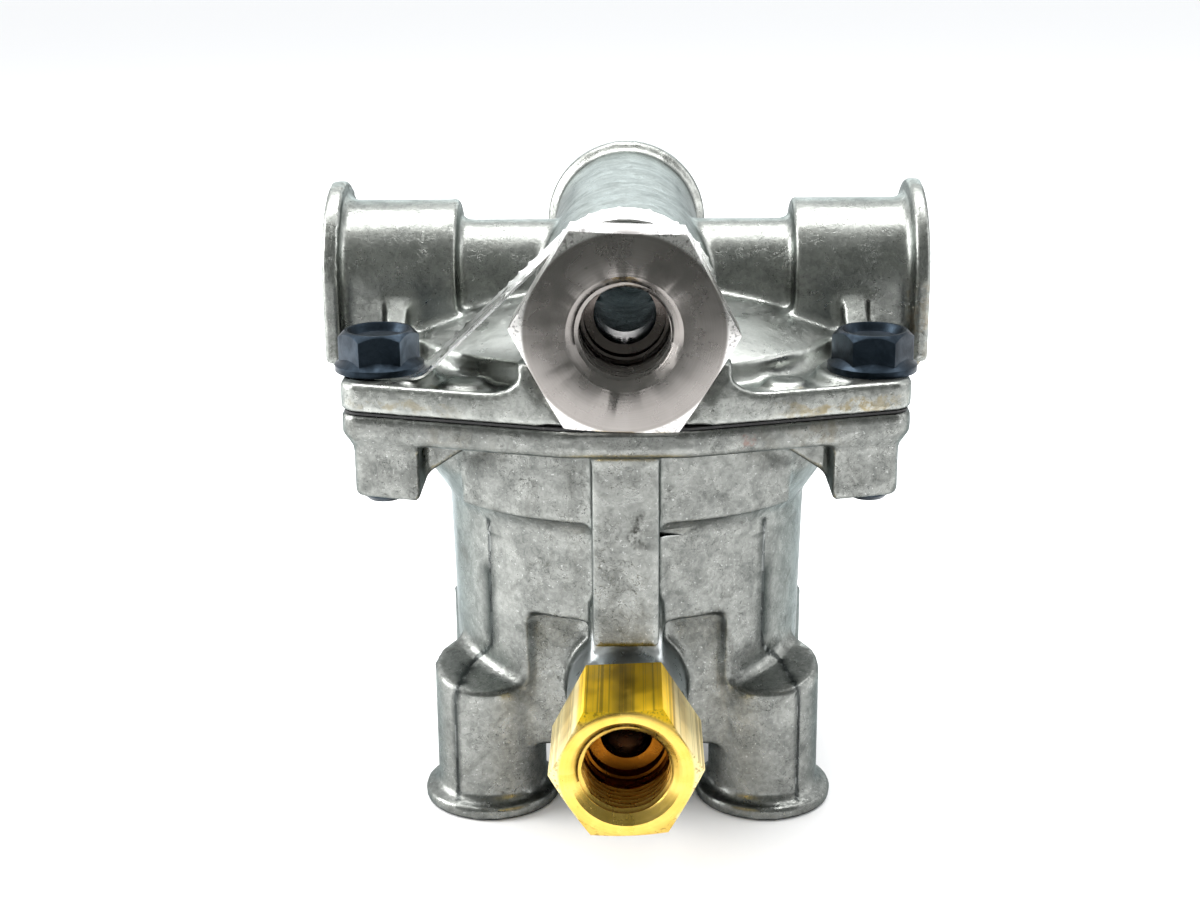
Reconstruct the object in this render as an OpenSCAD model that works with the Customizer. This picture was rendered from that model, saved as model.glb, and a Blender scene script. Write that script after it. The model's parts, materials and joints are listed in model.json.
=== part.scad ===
// Air relay valve: two bolted castings with nine ports, two pipe adapters and the
// relay mechanism inside. Millimetres. +Z is up, +X is to the right and +Y points
// out of the rear port. The origin is at the centre of the footprint, level with
// the faces of the four lower ports.

/* [Upper ports] */
// Height of the upper port axes above the base
port_z = 99; // [99:0.5:102]
// Distance from the body axis to the face of each side port
side_reach = 55; // [54:0.5:58]
// Distance from the body axis to the face of the rear port
rear_reach = 56; // [55:0.5:58]
// Distance from the body axis to the face of the front port
front_reach = 45.5; // [45:0.5:46]
// Outside radius of a side port
side_port_r = 13; // [12.5:0.1:13.5]
// Outside radius of the front port
main_port_r = 15.5; // [15:0.1:16]
// Outside radius of the rear port behind its lip
rear_port_r = 15; // [14.6:0.1:15.6]
// Outside radius of the neck between a side port and the middle
neck_r = 9.2; // [8.5:0.1:10]
// Radius of the lip round a side port
side_lip_r = 16.5; // [16:0.1:17]
// Radius of the lip round the rear port
rear_lip_r = 17; // [16.5:0.1:17.5]
// Tapping bore radius of a side port, 1/2 inch pipe
side_bore_r = 9.15; // [8.9:0.05:9.3]
// Tapping bore radius of the front and rear ports, 3/4 inch pipe
main_bore_r = 11.9; // [11.7:0.05:12.1]

/* [Flanges] */
// Height of the top face of the lower casting
joint_z = 82; // [81.5:0.1:82.2]
// Thickness of the joint gasket
gasket_t = 0.4; // [0.3:0.1:0.6]
// Thickness of the cover's flange
cover_flange_t = 5.1; // [4.5:0.1:5.5]
// Thickness of the lower casting's flange
body_flange_t = 5; // [4.5:0.1:6]
// Half the distance between bolts, left to right
bolt_x = 42.7; // [42.5:0.1:43]
// Half the distance between bolts, front to rear
bolt_y = 33; // [32.5:0.1:33.5]

/* [Lower casting] */
// Radius of the barrel above the step
barrel_top_r = 41; // [40.5:0.1:41.5]
// Radius of the barrel below the step
barrel_r = 34.6; // [34.4:0.1:35]
// Height of the step in the barrel
step_z = 61.4; // [60:0.2:62]
// Radius of the hub round the exhaust
hub_r = 19; // [18.5:0.1:19.5]
// Height of the hub's lower face
hub_z = 9; // [8.5:0.1:9.5]
// Distance of a lower port from the body axis, left to right
low_port_x = 26; // [25.5:0.1:26.5]
// Distance of a lower port from the body axis, front to rear
low_port_y = 20; // [19.5:0.1:20.5]
// Outside radius of a lower port
low_port_r = 10.4; // [10:0.1:10.8]
// Tapping bore radius of a lower port, 1/4 inch pipe
low_bore_r = 5.6; // [5.5:0.05:5.7]
// Height of the control port axis
control_z = 26; // [25.5:0.1:26.5]
// Distance from the body axis to the face of the control port
control_reach = 45; // [44.5:0.1:45.5]

/* [Adapters] */
// Size across the flats of the steel adapter
steel_af = 32.5; // [31.5:0.1:32.6]
// Length of the steel adapter's hexagon
steel_hex_l = 10; // [8:0.5:12]
// Size across the flats of the brass adapter
brass_af = 22.8; // [22:0.1:23]
// Length of the brass adapter's hexagon
brass_hex_l = 20; // [16:0.5:22]
// Tapping bore radius of both adapters, 3/8 inch pipe
adapter_bore_r = 7.4; // [7.2:0.05:7.5]

/* [Mechanism] */
// Radius of the cylinder that the relay piston slides in
cylinder_r = 30; // [29.5:0.1:30.2]
// Free travel of the piston before it closes the exhaust
piston_gap = 1.5; // [1:0.1:1.8]
// Radial running clearance of the sliding parts
running = 0.05; // [0.02:0.01:0.1]

/* [Hidden] */
$fn = 64;

cover_z = joint_z + gasket_t;
ear_top_z = cover_z + cover_flange_t;
brass_reach = control_reach + brass_hex_l;
// The body axis stands behind the middle of the footprint by this much
axis_y = (brass_reach - rear_reach) / 2;

corner = [44.4, 38.5];
corner_r = 4.4;
nose = [9, 44];
nose_r = 9;
lip_t = 1.8;
side_lip_t = 2.8;
rear_lip_t = 3.2;
dome_top_z = 98;
dome_r = 100;
dome_rim_r = 41;
groove_z = 85.6;
recess_x = 14.2;
side_body_x = 31;
side_rib_x = 39.8;
side_rib_t = 4;
seat_ear_r = 9.6;
pad_at = [27.5, 38];
pad_r = 3.2;
pad_h = 4.6;
gallery_r = 6.5;
main_gallery_r = 8;
side_thread_l = 17;
main_thread_l = 17;
cavity_r = 31;
cavity_top_z = 84.4;
control_hole_y = 41.5;
control_hole_r = 2.2;
supply_hole_y = 36;
supply_hole_r = 3.2;
supply_feed_z = 44;
control_feed_z = 47;
control_drop_y = 34.5;

bolt_r = 4;
bolt_clear_r = 4.4;
bolt_tip_z = 64.4;
bolt_flange_r = 7.75;
bolt_af = 12.2;
tag_t = 0.4;
tag_w = 12;
tag_y = 34;
tag_r = main_port_r + 0.05;

ear_z = 66.8;
rib_w = 11.4;
rib_y = 49;
rib_z = 42;
control_boss_r = 11;
pocket_z = 40.4;
pocket_x = 18.5;
pocket_y = 27;
tie_z = 13;
barrel_z = 25;
low_lip_r = 13;
low_lip_t = 2.6;
shoulder_slope = 12;
low_thread_l = 11;
delivery_r = 3.2;
floor_z = 58;
web_z = 52;
seat_r = 8.5;
seat_lip_z = 51;
chamber_r = 14;

piston_z = 70;
piston_t = 8;
ring_wire_r = 1.2;
stem_r = 6.6;
face_z = seat_lip_z - 0.02;
stem_end_z = face_z + piston_gap + 0.02;
tube_r = 5.5;
tube_bore_r = 4;
tube_end_z = 18;
head_r = 11.5;
guide_z = [13, 27];
guide_skirt_z = 17;
ring_groove_z = 11.8;

// Everything is drawn about the body axis and set on the footprint by this
module on_axis() translate([0, axis_y, 0]) children();

// The four corners, as signs of X and Y
module at_corners(p) {
    for (sx = [-1, 1], sy = [-1, 1]) translate([sx * p.x, sy * p.y, 0]) children();
}

// Outline of both flanges, drawn in by an amount all round
module outline(inset = 0) {
    hull() {
        at_corners(corner) circle(r = corner_r - inset, $fn = 32);
        at_corners(nose) circle(r = nose_r - inset, $fn = 32);
    }
}

// A slab between two heights
module slab(low, high) {
    translate([0, 0, low]) linear_extrude(high - low) children();
}

// A round-topped wall across an upper port axis, down to a height
module arch(r, low) {
    circle(r = r);
    translate([-r, low - port_z]) square([2 * r, port_z - low]);
}

// Extrudes a port section along X or Y, between two distances from the body axis
module along_x(from, to) {
    translate([from, 0, port_z]) rotate([90, 0, 90]) linear_extrude(to - from) children();
}
module along_y(from, to) {
    translate([0, to, port_z]) rotate([90, 0, 0]) linear_extrude(to - from) children();
}

// A round bar along X or Y
module bar_x(from, to, r, z) translate([from, 0, z]) rotate([0, 90, 0]) cylinder(h = to - from, r = r);
module bar_y(from, to, r, z) translate([0, from, z]) rotate([-90, 0, 0]) cylinder(h = to - from, r = r);

// A block centred on X
module block(w, y0, y1, z0, z1) translate([-w / 2, y0, z0]) cube([w, y1 - y0, z1 - z0]);

// ---- Cover casting

// The low wall along the flange's front and rear edges, which climbs to the ports
module edge_wall() {
    // Place and height of the climb, and the half axes of its arc
    climb = [23, 92.5];
    arc = [7, 6.5];
    difference() {
        intersection() {
            slab(cover_z, climb.y + 2) outline();
            along_y(-60, 60) translate([0, -port_z]) polygon([
                [-60, cover_z], [-60, ear_top_z],
                for (a = [0 : 15 : 75]) [-climb.x + arc.x * sin(a), ear_top_z + arc.y * (1 - cos(a))],
                [-15, climb.y + 1], [15, climb.y + 1],
                for (a = [75 : -15 : 0]) [climb.x - arc.x * sin(a), ear_top_z + arc.y * (1 - cos(a))],
                [60, ear_top_z], [60, cover_z]
            ]);
        }
        slab(groove_z, climb.y + 3) outline(lip_t);
    }
}

// The four flat seats of the bolt heads
module ear_seats() {
    intersection() {
        slab(cover_z, ear_top_z) outline();
        at_corners([bolt_x, bolt_y]) translate([0, 0, cover_z]) cylinder(h = cover_flange_t, r = seat_ear_r);
    }
}

module dome() {
    intersection() {
        translate([0, 0, dome_top_z - dome_r]) sphere(r = dome_r, $fn = 128);
        translate([0, 0, cover_z]) cylinder(h = 20, r = dome_rim_r);
    }
}

module side_port() {
    rib_from = 12;
    rib_to = 22;
    along_x(0, side_body_x + 1) arch(neck_r, cover_z);
    along_x(side_body_x, side_reach - 1) arch(side_port_r, cover_z);
    along_x(side_reach - side_lip_t, side_reach) arch(side_lip_r, cover_z + 2);
    // Ribs from the port down to the bolt seats
    for (s = [-1, 1]) translate([side_rib_x, 0, 0]) rotate([90, 0, 90]) linear_extrude(side_rib_t)
        polygon([[s * rib_from, cover_z + 1], [s * rib_from, port_z - 1], [s * (rib_from + 0.8), port_z - 2],
                 [s * rib_to, ear_top_z], [s * rib_to, cover_z + 1]]);
}

module cover_casting() {
    color("lightgray") on_axis() difference() {
        union() {
            slab(cover_z, groove_z) outline();
            edge_wall();
            ear_seats();
            dome();
            // Ejector pads in the groove round the dome
            at_corners(pad_at) translate([0, 0, cover_z]) cylinder(h = pad_h, r = pad_r);
            side_port();
            mirror([1, 0, 0]) side_port();
            along_y(-front_reach, 0) arch(main_port_r, cover_z);
            along_y(-1, rear_reach - 1) arch(rear_port_r, cover_z);
            along_y(rear_reach - rear_lip_t, rear_reach) arch(rear_lip_r, cover_z + 2);
        }
        // Room for the steel adapter's hexagon in front of its port, in a shallow recess
        bar_y(-60, -front_reach, steel_af / sqrt(3) + 0.2, port_z);
        difference() {
            block(2 * recess_x, -60, -front_reach, cover_z, ear_top_z + 5);
            slab(cover_z - 1, ear_top_z + 6) outline(0.8);
        }
        for (s = [-1, 1]) side_thread(s);
        bar_x(-side_reach, side_reach, gallery_r, port_z);
        bar_y(-front_reach - 1, -front_reach + main_thread_l, main_bore_r, port_z);
        bar_y(rear_reach - main_thread_l, rear_reach + 1, main_bore_r, port_z);
        bar_y(-front_reach, rear_reach, main_gallery_r, port_z);
        // Supply passage down to the valve
        translate([0, supply_hole_y, cover_z - 1]) cylinder(h = port_z - cover_z, r = supply_hole_r);
        // Control space over the piston, and its feed from the rib passage
        translate([0, 0, cover_z - 1]) cylinder(h = cavity_top_z - cover_z + 1, r = cavity_r);
        block(2 * control_hole_r, -control_hole_y, -cavity_r + 2, cover_z - 1, cavity_top_z);
        translate([0, -control_hole_y, cover_z - 1])
            cylinder(h = cavity_top_z - cover_z + 1, r = control_hole_r);
        at_corners([bolt_x, bolt_y]) translate([0, 0, cover_z - 1]) cylinder(h = 8, r = bolt_clear_r);
        // Spot faces round the bolt heads
        at_corners([bolt_x, bolt_y]) translate([0, 0, ear_top_z]) cylinder(h = 12, r = bolt_flange_r + 0.5);
    }
}

// Tapped bore of a side port
module side_thread(s) {
    bar_x(s > 0 ? side_reach - side_thread_l : -side_reach - 1,
          s > 0 ? side_reach + 1 : -side_reach + side_thread_l, side_bore_r, port_z);
}

// ---- Lower casting

// A boss for each bolt, joined to the barrel
module bolt_boss() {
    inner = 7.4;
    behind = 6.5;
    slope_to = 18;
    intersection() {
        slab(ear_z, joint_z) outline(1.8);
        union() {
            translate([bolt_x - inner, bolt_y - behind, ear_z]) cube([inner + 5.4, 30, joint_z - ear_z]);
            // Its inner side slopes up into the barrel
            translate([bolt_x, bolt_y + 2, 0]) rotate([90, 0, 0]) linear_extrude(16)
                polygon([[-slope_to, joint_z], [-slope_to, ear_z + 9], [-inner, ear_z + 2],
                         [2, ear_z + 2], [2, joint_z]]);
        }
    }
}

// The barrel, with a plain step at the front and a cone at the sides
module barrel() {
    step_half = 29.5;
    cone_z = [57, 67];
    cone_r = barrel_top_r - 0.3;
    intersection() {
        translate([0, 0, step_z]) cylinder(h = joint_z - step_z, r = barrel_top_r);
        block(2 * step_half, -50, 50, step_z, joint_z);
    }
    translate([0, 0, cone_z[1]]) cylinder(h = joint_z - cone_z[1], r = cone_r);
    translate([0, 0, cone_z[0]]) cylinder(h = cone_z[1] - cone_z[0], r1 = barrel_r - 0.5, r2 = cone_r);
    translate([0, 0, barrel_z]) cylinder(h = 40, r1 = barrel_r - 1, r2 = barrel_r);
}

// One front lower port: its shoulder is a flat that rises towards the barrel behind it
module lower_port() {
    difference() {
        cylinder(h = barrel_z + 8, r = low_port_r);
        translate([0, -low_port_r, barrel_z]) rotate([shoulder_slope, 0, 0])
            translate([-20, -20, 0]) cube([40, 60, 20]);
    }
    cylinder(h = low_lip_t, r = low_lip_r);
}

module lower_casting() {
    color("silver") on_axis() difference() {
        union() {
            slab(joint_z - body_flange_t + 1.3, joint_z) outline();
            slab(joint_z - body_flange_t, joint_z - 1) outline(0.8);
            for (sx = [0, 1], sy = [0, 1]) mirror([sx, 0, 0]) mirror([0, sy, 0]) bolt_boss();
            difference() {
                barrel();
                // Pockets between the lower ports, front and rear
                for (s = [0, 1]) mirror([0, s, 0]) block(2 * pocket_x, -50, -pocket_y, 0, pocket_z);
            }
            translate([0, 0, hub_z]) cylinder(h = web_z - hub_z, r = hub_r);
            for (sx = [-1, 1], sy = [0, 1]) mirror([0, sy, 0])
                translate([sx * low_port_x, -low_port_y, 0]) lower_port();
            // Body that ties the lower ports to the hub
            block(2 * pocket_x + 2, -pocket_y, pocket_y, tie_z, pocket_z + 1);
            // Rib with the control passage, and the control port under it
            block(rib_w, -rib_y, -20, rib_z, joint_z - 1);
            block(rib_w + 1.6, -control_drop_y - 3.6, -hub_r + 2, control_z, rib_z + 3);
            bar_y(-control_reach, -hub_r + 2, control_boss_r, control_z);
            // Rib with the supply passage
            block(rib_w + 1.6, 20, 43, 38, joint_z - 1);
        }
        // Cylinder, seat bore and the bore from the exhaust up to the web
        translate([0, 0, floor_z]) cylinder(h = 30, r = cylinder_r);
        translate([0, 0, web_z - 2]) cylinder(h = 10, r = seat_r);
        difference() {
            translate([0, 0, hub_z - 1]) cylinder(h = web_z - hub_z + 1, r = chamber_r);
            translate([0, 0, seat_lip_z]) cylinder(h = 2, r = seat_r + 1.3);
        }
        // Groove for the retaining ring
        translate([0, 0, ring_groove_z]) cylinder(h = 1.3, r = chamber_r + 0.9);
        // Supply passage: down the rear rib and in to the valve
        translate([0, supply_hole_y, supply_feed_z]) cylinder(h = 50, r = supply_hole_r);
        bar_y(chamber_r - 2, supply_hole_y, supply_hole_r, supply_feed_z);
        // Control passage: down the front rib and back to the control port
        translate([0, -control_hole_y, control_feed_z]) cylinder(h = 50, r = control_hole_r);
        block(2 * control_hole_r, -control_hole_y, -33, control_feed_z, control_feed_z + 3);
        translate([0, -control_drop_y, control_z]) cylinder(h = 24, r = control_hole_r);
        bar_y(-control_reach - 1, -control_reach + 8, adapter_bore_r, control_z);
        bar_y(-control_reach, -31, 5, control_z);
        // Lower ports and the delivery passages above them
        at_corners([low_port_x, low_port_y]) translate([0, 0, -1])
            cylinder(h = low_thread_l + 1, r = low_bore_r);
        at_corners([low_port_x, low_port_y]) translate([0, 0, low_thread_l - 1])
            cylinder(h = 6, r = low_bore_r - 1);
        at_corners([low_port_x, low_port_y] * 0.87) translate([0, 0, low_thread_l + 0.5])
            cylinder(h = floor_z + 1 - low_thread_l, r = delivery_r);
        // Tapped holes for the bolts
        at_corners([bolt_x, bolt_y]) translate([0, 0, ear_z - 1]) cylinder(h = 30, r = bolt_r);
        // Casting notch beside the rib
        translate([rib_w / 2 + 0.3, -barrel_r - 1, 57.2]) cube([6.2, 2.2, 1.5]);
    }
}

module joint_gasket() {
    color("black") on_axis() difference() {
        slab(joint_z, cover_z) outline(0.5);
        translate([0, 0, joint_z - 1]) cylinder(h = 3, r = cavity_r);
        translate([0, supply_hole_y, joint_z - 1]) cylinder(h = 3, r = supply_hole_r);
        translate([0, -control_hole_y, joint_z - 1]) cylinder(h = 3, r = control_hole_r);
        at_corners([bolt_x, bolt_y]) translate([0, 0, joint_z - 1]) cylinder(h = 3, r = bolt_clear_r);
    }
}

// ---- Fasteners

// Hexagon flange bolt with a dished head, its seat at a given height
module flange_bolt(seat_z, turn) {
    color("darkslategray") translate([0, 0, seat_z]) {
        difference() {
            union() {
                cylinder(h = 1.1, r = bolt_flange_r);
                translate([0, 0, 1.1]) cylinder(h = 1.3, r1 = bolt_flange_r, r2 = bolt_af / 2 - 0.2);
                intersection() {
                    rotate([0, 0, turn]) cylinder(h = 7, r = bolt_af / sqrt(3), $fn = 6);
                    cylinder(h = 7.2, r1 = bolt_af / sqrt(3) + 6, r2 = bolt_af / 2 - 0.5);
                }
            }
            translate([0, 0, 5.6]) cylinder(h = 2, r1 = 4.5, r2 = 5.7);
        }
    }
    color("darkslategray") {
        translate([0, 0, bolt_tip_z + 1]) cylinder(h = seat_z - bolt_tip_z - 1, r = bolt_r - 0.02);
        translate([0, 0, bolt_tip_z]) cylinder(h = 1, r1 = bolt_r - 1, r2 = bolt_r - 0.02);
    }
}

module bolt_at(sx, sy, seat_z, turn) {
    on_axis() translate([sx * bolt_x, sy * bolt_y, 0]) flange_bolt(seat_z, turn);
}

module bolt_front_left() bolt_at(-1, -1, ear_top_z + tag_t, 8);
module bolt_front_right() bolt_at(1, -1, ear_top_z, -5);
module bolt_rear_left() bolt_at(-1, 1, ear_top_z, 14);
module bolt_rear_right() bolt_at(1, 1, ear_top_z, 21);

// Strip held under a bolt, bent up and over the front port
module id_tag() {
    foot_x = 34.7;
    foot_z = ear_top_z + tag_t / 2 - port_z;
    rise = atan2(-foot_z, foot_x);
    reach = norm([foot_x, foot_z]);
    mid_r = tag_r + tag_t / 2;
    // Where the straight part meets the round of the port, as an angle above -X
    meet = acos(mid_r / reach) - rise;
    straight = sqrt(reach * reach - mid_r * mid_r);
    color("gainsboro") on_axis() {
        difference() {
            union() {
                translate([-bolt_x, -bolt_y, ear_top_z]) cylinder(h = tag_t, r = 6.4);
                translate([-bolt_x, -tag_y - tag_w / 2, ear_top_z]) cube([bolt_x - foot_x, tag_w, tag_t]);
            }
            translate([-bolt_x, -bolt_y, ear_top_z - 1]) cylinder(h = 3, r = bolt_clear_r);
        }
        translate([0, -tag_y + tag_w / 2, port_z]) rotate([90, 0, 0]) linear_extrude(tag_w) {
            translate([-foot_x, foot_z]) rotate(90 - meet) translate([-0.1, -tag_t / 2])
                square([straight + 0.5, tag_t]);
            difference() {
                circle(r = tag_r + tag_t);
                circle(r = tag_r);
                // Leaves the arc from the straight part over the top to the level of the axis
                rotate(180 - meet) square([60, 60]);
                translate([-40, -40]) square([80, 40]);
            }
        }
    }
}

// ---- Adapters

// Hexagonal pipe adapter along -Y: hexagon, shank and a stepped bore
module adapter(af, face, hex_l, shank_r, shank_l, turn, throat_r) {
    difference() {
        union() {
            intersection() {
                translate([0, -face, 0]) rotate([-90, 0, 0]) rotate([0, 0, turn])
                    cylinder(h = hex_l, r = af / sqrt(3), $fn = 6);
                translate([0, -face, 0]) rotate([-90, 0, 0])
                    cylinder(h = hex_l, r1 = af / 2 - 0.4, r2 = af / 2 - 0.4 + hex_l * 2.3);
            }
            bar_y(-face + hex_l - 0.5, -face + hex_l + shank_l, shank_r, 0);
        }
        bar_y(-face - 1, -face + 13, adapter_bore_r, 0);
        bar_y(-face, -face + 15.5, adapter_bore_r - 0.5, 0);
        bar_y(-face, -face + hex_l + shank_l + 1, throat_r, 0);
        translate([0, -face - 0.1, 0]) rotate([-90, 0, 0])
            cylinder(h = 2.1, r1 = adapter_bore_r + 2.2, r2 = adapter_bore_r - 0.2);
    }
}

module steel_adapter() {
    face = front_reach + 0.5 + steel_hex_l;
    color("darkgray") on_axis() translate([0, 0, port_z])
        adapter(steel_af, face, steel_hex_l, main_bore_r - 0.02, 15, 2, 5.3);
}

module brass_adapter() {
    color("goldenrod") on_axis() translate([0, 0, control_z])
        adapter(brass_af, brass_reach, brass_hex_l, adapter_bore_r - 0.02, 7.4, -2.4, 4.6);
}

// ---- Relay piston

module relay_piston() {
    color("lightslategray") on_axis() difference() {
        union() {
            translate([0, 0, piston_z]) cylinder(h = piston_t, r = cylinder_r - running);
            translate([0, 0, stem_end_z]) cylinder(h = piston_z - stem_end_z + 1, r = stem_r);
            translate([0, 0, piston_z]) cylinder(h = cavity_top_z - 0.1 - piston_z, r = 8);
        }
        // Groove for the sliding seal
        difference() {
            translate([0, 0, piston_z + 2.6]) cylinder(h = 2.8, r = cylinder_r + 1);
            translate([0, 0, piston_z + 2]) cylinder(h = 4, r = cylinder_r - 2.5);
        }
        // Hollows that lighten it above and below
        difference() {
            translate([0, 0, piston_z + 4]) cylinder(h = 10, r = 24);
            translate([0, 0, piston_z + 3]) cylinder(h = 20, r = 8);
        }
        translate([0, 0, stem_end_z - 1]) cylinder(h = 14, r = tube_bore_r);
    }
}

module o_ring(z, r, wire_r) {
    translate([0, 0, z]) rotate_extrude() translate([r, 0]) circle(r = wire_r, $fn = 24);
}

module piston_ring() {
    color("dimgray") on_axis() o_ring(piston_z + 4, cylinder_r - running - ring_wire_r, ring_wire_r);
}

// A helical compression spring as one closed tube of square-ended wire
module coil_spring(low, high, r, wire_r, turns) {
    sides = 8;
    steps = turns * 14;
    rings = [for (i = [0 : steps]) let (a = i * 360 * turns / steps, f = i / steps,
             // The end turns lie flat
             rise = min(max((f * turns - 0.8) / (turns - 1.6), 0), 1))
        for (k = [0 : sides - 1]) let (b = k * 360 / sides, q = r + wire_r * cos(b))
            [q * cos(a), q * sin(a),
             low + wire_r + rise * (high - low - 2 * wire_r) + wire_r * sin(b)
             + (rise == 0 ? f * 0.02 : 0)]];
    polyhedron(points = rings, convexity = 8, faces = concat(
        [[for (k = [0 : sides - 1]) k]],
        [for (i = [0 : steps - 1], k = [0 : sides - 1])
            let (n = (k + 1) % sides, o = i * sides)
            [o + k, o + sides + k, o + sides + n, o + n]],
        [[for (k = [sides - 1 : -1 : 0]) steps * sides + k]]));
}

module piston_spring() {
    color("gray") on_axis() coil_spring(floor_z + 0.05, piston_z - 0.05, 12, 0.8, 5);
}

// ---- Inlet and exhaust valve

module valve_tube() {
    color("peru") on_axis() difference() {
        union() {
            translate([0, 0, tube_end_z]) cylinder(h = face_z - 2 - tube_end_z, r = tube_r);
            translate([0, 0, face_z - 4.4]) cylinder(h = 2.4, r = head_r);
        }
        translate([0, 0, tube_end_z - 1]) cylinder(h = 40, r = tube_bore_r);
    }
}

module valve_face() {
    color("dimgray") on_axis() difference() {
        translate([0, 0, face_z - 2]) cylinder(h = 2, r = head_r - 0.4);
        translate([0, 0, face_z - 3]) cylinder(h = 4, r = tube_bore_r);
    }
}

module spring_seat() {
    color("silver") on_axis() difference() {
        translate([0, 0, guide_z[1]]) cylinder(h = 0.8, r = 10.5);
        translate([0, 0, guide_z[1] - 1]) cylinder(h = 3, r = tube_r + 0.5);
    }
}

module valve_spring() {
    color("gray") on_axis() coil_spring(guide_z[1] + 0.85, face_z - 4.45, 8.4, 0.8, 6);
}

module valve_guide() {
    color("lightslategray") on_axis() difference() {
        translate([0, 0, guide_z[0]]) cylinder(h = guide_z[1] - guide_z[0], r = chamber_r - running);
        translate([0, 0, guide_z[0]]) cylinder(h = 30, r = tube_r + running);
        translate([0, 0, guide_z[0] - 1]) cylinder(h = guide_skirt_z - guide_z[0] + 1, r = 9.5);
        // Groove of the outer ring, and groove of the inner ring
        difference() {
            translate([0, 0, 20]) cylinder(h = 2.4, r = chamber_r + 1);
            translate([0, 0, 19]) cylinder(h = 5, r = chamber_r - 2.1);
        }
        translate([0, 0, 20]) cylinder(h = 2.4, r = tube_r + 2.1);
    }
}

module guide_outer_ring() {
    color("dimgray") on_axis() o_ring(21.2, chamber_r - running - 1, 1);
}

module guide_inner_ring() {
    color("dimgray") on_axis() o_ring(21.2, tube_r + running + 1, 1);
}

// ---- Exhaust

module exhaust_plate() {
    color("darkgray") on_axis() difference() {
        translate([0, 0, guide_z[0]]) cylinder(h = 2, r = 9.48);
        translate([0, 0, guide_z[0] - 1]) cylinder(h = 4, r = 1.5);
        for (i = [0 : 5]) rotate([0, 0, i * 60]) translate([5.4, 0, guide_z[0] - 1]) cylinder(h = 4, r = 1.7);
    }
}

module exhaust_diaphragm() {
    color("dimgray") on_axis() difference() {
        translate([0, 0, guide_z[0] - 0.8]) cylinder(h = 0.8, r = 8.4);
        translate([0, 0, guide_z[0] - 2]) cylinder(h = 4, r = 1.5);
    }
}

module diaphragm_washer() {
    color("silver") on_axis() difference() {
        translate([0, 0, guide_z[0] - 1.4]) cylinder(h = 0.6, r = 3.6);
        translate([0, 0, guide_z[0] - 2]) cylinder(h = 4, r = 1.5);
    }
}

module diaphragm_screw() {
    color("gray") on_axis() {
        difference() {
            translate([0, 0, guide_z[0] - 3]) cylinder(h = 1.6, r1 = 2.2, r2 = 2.8);
            for (a = [0, 90]) rotate([0, 0, a]) translate([-1.5, -0.3, guide_z[0] - 4]) cube([3, 0.6, 1.8]);
        }
        translate([0, 0, guide_z[0] - 1.5]) cylinder(h = 3.8, r = 1.48);
    }
}

// Snap ring with a gap at the front and an eye on each end
module retaining_ring() {
    color("gray") on_axis() translate([0, 0, ring_groove_z + 0.1]) difference() {
        union() {
            difference() {
                cylinder(h = 1.1, r = chamber_r + 0.8);
                translate([0, 0, -1]) cylinder(h = 4, r = chamber_r - 1.6);
            }
            for (s = [-1, 1]) rotate([0, 0, s * 14]) translate([0, -11.6, 0]) cylinder(h = 1.1, r = 2);
        }
        for (s = [-1, 1]) rotate([0, 0, s * 14]) translate([0, -11.6, -1]) cylinder(h = 4, r = 0.9);
        translate([-1.4, -20, -1]) cube([2.8, 12, 4]);
    }
}

lower_casting();
cover_casting();
joint_gasket();
bolt_front_left();
bolt_front_right();
bolt_rear_left();
bolt_rear_right();
id_tag();
steel_adapter();
brass_adapter();
relay_piston();
piston_ring();
piston_spring();
valve_tube();
valve_face();
valve_spring();
spring_seat();
valve_guide();
guide_outer_ring();
guide_inner_ring();
exhaust_plate();
exhaust_diaphragm();
diaphragm_washer();
diaphragm_screw();
retaining_ring();
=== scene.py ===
import json
import math
import bmesh
import bpy
import numpy as np
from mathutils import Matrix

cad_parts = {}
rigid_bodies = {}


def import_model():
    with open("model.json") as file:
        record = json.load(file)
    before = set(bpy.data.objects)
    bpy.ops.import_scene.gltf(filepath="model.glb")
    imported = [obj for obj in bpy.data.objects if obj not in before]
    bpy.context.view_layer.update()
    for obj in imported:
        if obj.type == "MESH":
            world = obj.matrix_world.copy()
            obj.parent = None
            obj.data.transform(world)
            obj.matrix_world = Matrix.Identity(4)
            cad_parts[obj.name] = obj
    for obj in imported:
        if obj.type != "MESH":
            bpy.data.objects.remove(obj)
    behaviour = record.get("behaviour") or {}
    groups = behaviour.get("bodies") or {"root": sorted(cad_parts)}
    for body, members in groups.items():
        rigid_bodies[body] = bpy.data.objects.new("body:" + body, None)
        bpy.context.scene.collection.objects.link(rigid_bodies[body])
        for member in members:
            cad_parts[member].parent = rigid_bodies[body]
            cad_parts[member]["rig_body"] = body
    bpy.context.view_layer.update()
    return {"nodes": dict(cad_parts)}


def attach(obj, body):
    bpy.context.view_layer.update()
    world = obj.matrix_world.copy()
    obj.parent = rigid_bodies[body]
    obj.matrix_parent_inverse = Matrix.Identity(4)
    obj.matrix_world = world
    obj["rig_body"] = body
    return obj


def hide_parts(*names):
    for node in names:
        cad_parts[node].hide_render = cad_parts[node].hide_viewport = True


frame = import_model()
import openvdb
from mathutils import Matrix, Vector
from mathutils.bvhtree import BVHTree

MM = 0.001
# Places in mm. X and Y of the pieces count from the body axis, which stands AXIS_Y behind the origin.
AXIS_Y = 4.5
PORT_Z = 99             # axis of the side, front and rear ports
CONTROL_Z = 26          # axis of the control port
JOINT_Z = 82            # underside of the gasket
GASKET_T = 0.4
SIDE_REACH = 55
REAR_REACH = 56
LOW_PORT_X = 26
LOW_PORT_Y = 20
BOLT_X = 42.7
BOLT_Y = 33
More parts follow.
